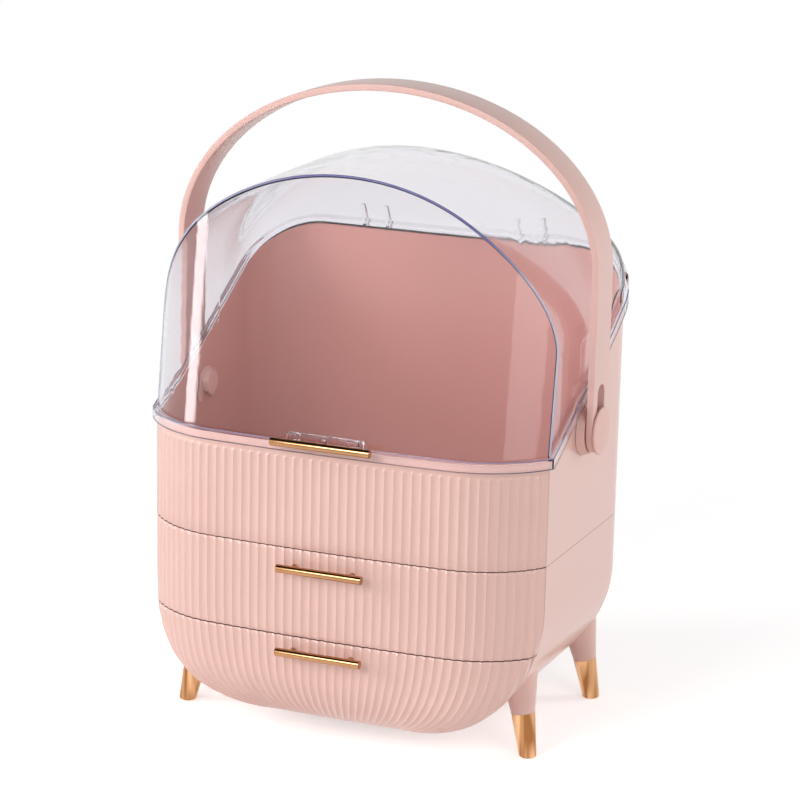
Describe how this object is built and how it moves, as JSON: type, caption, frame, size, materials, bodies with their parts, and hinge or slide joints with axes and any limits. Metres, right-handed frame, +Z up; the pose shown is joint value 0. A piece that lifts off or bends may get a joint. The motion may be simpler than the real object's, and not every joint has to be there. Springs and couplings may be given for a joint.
{
  "type": "makeup storage case",
  "caption": "Ribbed makeup storage case on splayed metal-tipped legs, with stacked drawers, a hinged clear domed lid and a swinging carry handle",
  "frame": {"origin": "on the surface that the feet stand on, under the middle of the bounding box", "axes": "+X is the object's right seen from the front, -Y faces the front with the drawer pulls, +Z is up"},
  "size_m": [0.2958, 0.2226, 0.417],
  "materials": {
    "case_pink": "satin moulded plastic, dusty pink",
    "inner_pink": "plain moulded plastic, darker pink",
    "handle_pink": "satin moulded plastic, dusty pink",
    "pivot_pink": "plain moulded plastic, dusty pink",
    "clear_lid": "clear polished plastic",
    "gold_trim": "polished rose gold plating",
    "steel": "plain steel"
  },
  "bodies": {
    "case": {"upper_case": "case_pink", "lower_housing": "case_pink", "drawer_shelf": "inner_pink", "leg_tip_front_left": "gold_trim", "leg_tip_front_right": "gold_trim", "leg_tip_rear_left": "gold_trim", "leg_tip_rear_right": "gold_trim", "case_screws": "steel", "hinge_pin_left": "steel", "hinge_pin_right": "steel"},
    "lid": {"lid_dome": "clear_lid", "lid_pull_bracket": "clear_lid", "lid_pull": "gold_trim"},
    "pivot_bushes": {"pivot_bush_left": "pivot_pink", "pivot_bush_right": "pivot_pink", "pivot_clip_left": "pivot_pink", "pivot_clip_right": "pivot_pink"},
    "pivot_buttons": {"pivot_button_left": "handle_pink", "pivot_button_right": "handle_pink"},
    "handle": {"handle_strap": "handle_pink"},
    "upper_drawer": {"upper_drawer_front": "case_pink", "upper_drawer_tray": "inner_pink", "upper_drawer_pull": "gold_trim", "upper_drawer_pull_screws": "steel"},
    "lower_drawer": {"lower_drawer_front": "case_pink", "lower_drawer_tray": "inner_pink", "lower_drawer_pull": "gold_trim", "lower_drawer_pull_screws": "steel"}
  },
  "joints": [
    {"name": "lid_open", "type": "hinge", "parent": "case", "child": "lid", "pos_m": [0, 0.1078, 0.289], "axis": [-1, 0, 0], "range_deg": [0, 75]},
    {"name": "bush_turn", "type": "hinge", "parent": "case", "child": "pivot_bushes", "pos_m": [0, -0.0015, 0.207], "axis": [-1, 0, 0], "range_deg": [0, 135]},
    {"name": "handle_swing", "type": "hinge", "parent": "pivot_bushes", "child": "pivot_buttons", "pos_m": [0, -0.0015, 0.207], "axis": [1, 0, 0], "range_deg": [-110, 110]},
    {"name": "handle_lift", "type": "slide", "parent": "pivot_buttons", "child": "handle", "axis": [0, 0, 1], "range_m": [-0.0165, 0]},
    {"name": "upper_drawer_slide", "type": "slide", "parent": "case", "child": "upper_drawer", "axis": [0, -1, 0], "range_m": [0, 0.12]},
    {"name": "lower_drawer_slide", "type": "slide", "parent": "case", "child": "lower_drawer", "axis": [0, -1, 0], "range_m": [0, 0.12]}
  ],
  "couplings": [
    {"joint": "bush_turn", "follows": "lid_open", "ratio": 1.8}
  ]
}
